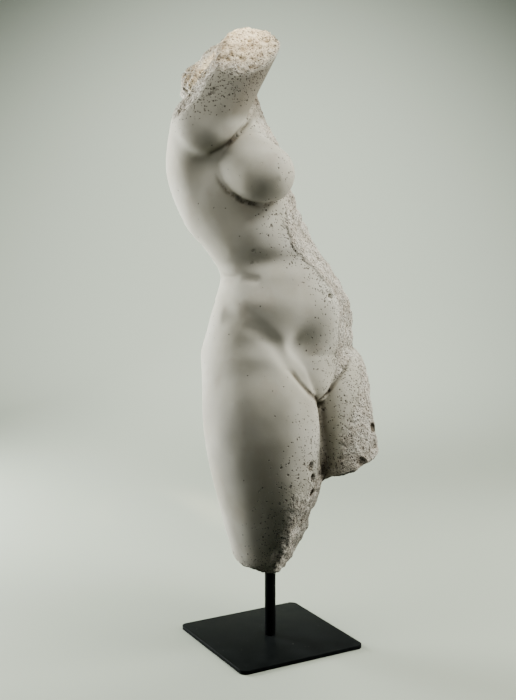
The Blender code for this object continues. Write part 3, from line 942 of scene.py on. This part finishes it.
def sweep_outline(stage):
    """Line of the seamless backdrop: floor, round bend and wall."""
    bend = stage.bend_radius
    steps = 24
    turns = [math.radians(90.0) * i / steps for i in range(steps + 1)]
    curve = [(stage.sweep_back - bend + bend * math.sin(t), bend - bend * math.cos(t)) for t in turns]
    return [(-stage.sweep_front, 0.0), *curve, (stage.sweep_back, stage.wall_height)]


def backdrop_material(stage):
    """Plain pale paint."""
    mat, _, shader = new_material("backdrop", Roughness=0.8, Specular_IOR_Level=0.2)
    shader.inputs["Base Color"].default_value = rgba(stage.backdrop_colour)
    return mat


def studio_world(stage):
    """Pale room behind everything, which fills the shadows only a little."""
    world = bpy.data.worlds.new("studio")
    world.use_nodes = True
    graph = Graph(world.node_tree)
    room = world.node_tree.nodes["Background"]
    room.inputs["Color"].default_value = rgba(stage.backdrop_colour)
    seen_directly = graph.node("ShaderNodeLightPath").outputs["Is Camera Ray"]
    shown = graph.sum("MULTIPLY", seen_directly, stage.room_shown)
    world.node_tree.links.new(graph.sum("ADD", shown, stage.sky), room.inputs["Strength"])
    return world


def add_camera(stage):
    """Camera at the photograph's angle and distance."""
    lens = bpy.data.cameras.new("camera")
    lens.sensor_width = 36.0
    lens.lens = stage.lens
    lens.dof.use_dof = False
    camera = bpy.data.objects.new("camera", lens)
    bpy.context.scene.collection.objects.link(camera)
    camera.location = studio_point(stage.camera_right, -stage.camera_distance, stage.camera_height)
    camera.rotation_euler = (math.radians(90.0) - stage.camera_tilt, 0.0, -VIEW_TURN)
    bpy.context.scene.camera = camera


def colour_property(name, description, default):
    return FloatVectorProperty(name=name, description=description, default=default, size=3, min=0.0, max=1.0,
                               subtype="COLOR")


def length_property(name, description, default):
    return FloatProperty(name=name, description=description, default=default, min=0.0, unit="LENGTH")


def power_property(name, description, default):
    return FloatProperty(name=name, description=description, default=default, min=0.0, unit="POWER")


class TorsoSizes(bpy.types.PropertyGroup):
    """Sizes of the pieces' fine shapes."""
    rough_voxel: length_property("Rough voxel", "Fineness of the plaster's first cut", 0.0034)
    skin_voxel: length_property("Skin voxel", "Fineness of the plaster's mesh", 0.0019)
    quick_voxel: length_property("Quick voxel", "Fineness of the plaster's mesh for quick looks", 0.0030)
    most_faces: IntProperty(name="Most faces", description="Most triangles in the plaster's mesh",
                            default=190000, min=1000)
    break_relief: FloatProperty(name="Break relief", description="Height of the grit on broken faces",
                                default=1.0, min=0.0, max=2.0)
    rod_chamfer: length_property("Rod chamfer", "Softened rim at each end of the rod", 0.0008)
    round_sides: IntProperty(name="Round sides", description="Sides of the rod", default=96, min=12)
    plate_corner: length_property("Plate corner", "Radius of the plate's corners", 0.010)
    plate_edge: length_property("Plate edge", "Softened rim of the plate", 0.0006)


class TorsoFinish(bpy.types.PropertyGroup):
    """Colours of the plaster and the steel."""
    skin_colour: colour_property("Skin", "Plaster of the smooth skin", (0.55, 0.53, 0.425))
    pale_colour: colour_property("Pale", "Paler clouds in the skin", (0.64, 0.627, 0.53))
    warm_colour: colour_property("Warm", "Tan and pinkish patches", (0.54, 0.495, 0.40))
    grey_colour: colour_property("Grey", "Greyer patches", (0.47, 0.46, 0.43))
    break_colour: colour_property("Break", "Plaster of the broken faces", (0.69, 0.665, 0.565))
    # Colour of the painted shade inside the pits
    pit_shade_colour: colour_property("Pit shade", "Painted shade inside the air holes", (0.10, 0.085, 0.065))
    # Colour of the painted shade in narrow creases, folds and the thigh gap
    fold_shade_colour: colour_property("Fold shade", "Painted shade in folds", (0.20, 0.17, 0.13))
    # Colour of the painted shade in wide hollows, on the neck's split and under the raised arm
    painted_shade_colour: colour_property("Painted shade", "Painted shade in wide hollows and under the arm", (0.42, 0.39, 0.35))
    plate_colour: colour_property("Plate", "Coat of the foot plate", (0.0035, 0.0045, 0.0045))
    rod_colour: colour_property("Rod", "Coat of the rod", (0.003, 0.0035, 0.0035))


class StudioStage(bpy.types.PropertyGroup):
    """Floor, backdrop, lights and camera."""
    backdrop_colour: colour_property("Backdrop", "Paint of the floor and wall", (0.44, 0.495, 0.405))
    sweep_width: length_property("Sweep width", "Width of the floor and wall", 14.0)
    sweep_front: length_property("Sweep front", "Floor in front of the rod", 6.0)
    sweep_back: length_property("Sweep back", "Distance of the wall behind the torso", 3.6)
    bend_radius: length_property("Bend", "Radius between floor and wall", 1.8)
    wall_height: length_property("Wall height", "Height of the wall", 6.0)
    lens: FloatProperty(name="Lens", description="Focal length of the camera", default=59.7, min=1.0,
                        subtype="DISTANCE_CAMERA", unit="CAMERA")
    camera_right: FloatProperty(name="Camera right", description="Camera to the right of the rod",
                                default=-0.018, unit="LENGTH")
    camera_distance: length_property("Camera distance", "Camera to rod, along the floor", 1.644)
    camera_height: length_property("Camera height", "Camera over the floor", 0.668)
    camera_tilt: FloatProperty(name="Camera tilt", description="Downward tilt of the camera",
                               default=math.radians(8.19), subtype="ANGLE", unit="ROTATION")
    left_power: power_property("Left light", "Left and slightly behind", 88.0)
    left_front_power: power_property("Left front light", "Left, in front and high", 7.0)
    chest_power: power_property("Chest light", "Faint light on the chest from the left front", 9.5)
    right_power: power_property("Right light", "Right of the torso and high", 24.0)
    right_low_power: power_property("Right low light", "Right of the torso and low", 17.0)
    back_power: power_property("Back light", "Behind on the right and high", 14.0)
    over_power: power_property("Over light", "Straight above", 7.0)
    break_power: power_property("Break light", "Warm light on the broken arm", 165.0)
    wall_power: power_property("Wall light", "Light on the backdrop", 520.0)
    sky: FloatProperty(name="Fill", description="Strength of the even fill light", default=0.06, min=0.0)
    room_shown: FloatProperty(name="Room", description="Brightness of the room behind the floor and wall",
                              default=0.9, min=0.0)


class TORSO_OT_plaster(bpy.types.Operator):
    """Model the plaster fragment over its solid"""
    bl_idname = "torso.plaster"
    bl_label = "Plaster torso"

    def execute(self, context):
        mesh = carved_plaster(context.scene.torso_sizes)
        piece = add_piece("torso_plaster", mesh, plaster_material(context.scene.torso_finish))
        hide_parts("torso")
        return {"FINISHED"}


class TORSO_OT_stand(bpy.types.Operator):
    """Model the steel rod and foot plate over their solids"""
    bl_idname = "torso.stand"
    bl_label = "Rod and foot plate"

    def execute(self, context):
        sizes = context.scene.torso_sizes
        finish = context.scene.torso_finish
        rod = add_piece("rod", rod_mesh(sizes), steel_material("rod_coat", finish.rod_colour, 0.34))
        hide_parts("stand_rod")
        plate = add_piece("foot_plate", plate_mesh(sizes),
                          steel_material("plate_coat", finish.plate_colour, 0.36))
        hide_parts("base_plate")
        return {"FINISHED"}


class TORSO_OT_stage(bpy.types.Operator):
    """Set up the pale floor and backdrop, the soft lights and the camera"""
    bl_idname = "torso.stage"
    bl_label = "Studio"

    def execute(self, context):
        stage = context.scene.studio_stage
        sweep = pulled_sideways("backdrop", sweep_outline(stage), stage.sweep_width)
        sweep.materials.append(backdrop_material(stage))
        backdrop = bpy.data.objects.new("backdrop", sweep)
        context.scene.collection.objects.link(backdrop)
        backdrop.visible_diffuse = False
        middle = (0.0, 0.0, 0.48)
        cool, neutral, warm = (0.97, 0.985, 0.965), (1.0, 0.98, 0.93), (1.0, 0.79, 0.50)
        soft_box("left_light", (-1.30, 0.72, 0.50), middle, 0.7, 1.4, stage.left_power, cool)
        soft_box("left_front_light", (-1.15, -0.55, 1.45), middle, 0.5, 0.5, stage.left_front_power, neutral)
        add_spot("chest_light", (-0.80, -0.95, 0.85), (-0.03, 0.0, 0.64), 40.0, stage.chest_power, neutral)
        soft_box("right_light", (0.90, -0.25, 1.60), middle, 0.6, 0.6, stage.right_power, neutral)
        soft_box("right_low_light", (1.32, 0.32, 0.42), middle, 0.4, 0.9, stage.right_low_power, neutral)
        soft_box("back_light", (0.65, 1.10, 1.70), middle, 0.7, 0.7, stage.back_power, neutral)
        soft_box("over_light", (0.10, 0.10, 2.10), middle, 0.6, 0.6, stage.over_power, neutral)
        add_spot("break_light", (0.10, -0.62, 1.62), (-0.035, -0.05, 0.893), 9.0, stage.break_power, warm)
        add_spot("wall_light", (0.0, 1.5, 2.5), (-0.05, 3.0, 0.0), 94.0, stage.wall_power, (1.0, 1.0, 0.98))
        context.scene.world = studio_world(stage)
        add_camera(stage)
        return {"FINISHED"}


class TORSO_PT_panel(bpy.types.Panel):
    """Buttons and sizes of the torso and its stand"""
    bl_label = "Torso"
    bl_idname = "TORSO_PT_panel"
    bl_space_type = "VIEW_3D"
    bl_region_type = "UI"
    bl_category = "Torso"

    def draw(self, context):
        for operator in OPERATORS:
            self.layout.operator(operator.bl_idname)
        for name in PROPERTY_HOLDERS:
            holder = getattr(context.scene, name)
            for key in holder.__annotations__:
                self.layout.prop(holder, key)


OPERATORS = (TORSO_OT_stand, TORSO_OT_plaster, TORSO_OT_stage)
PROPERTY_HOLDERS = {"torso_sizes": TorsoSizes, "torso_finish": TorsoFinish, "studio_stage": StudioStage}
CLASSES = (*PROPERTY_HOLDERS.values(), *OPERATORS, TORSO_PT_panel)


def register():
    for cls in CLASSES:
        bpy.utils.register_class(cls)
    for name, cls in PROPERTY_HOLDERS.items():
        setattr(bpy.types.Scene, name, PointerProperty(type=cls))


def unregister():
    for name in PROPERTY_HOLDERS:
        delattr(bpy.types.Scene, name)
    for cls in reversed(CLASSES):
        bpy.utils.unregister_class(cls)


def main():
    register()
    bpy.ops.torso.stand()
    bpy.ops.torso.plaster()
    bpy.ops.torso.stage()


if __name__ == "__main__":
    main()
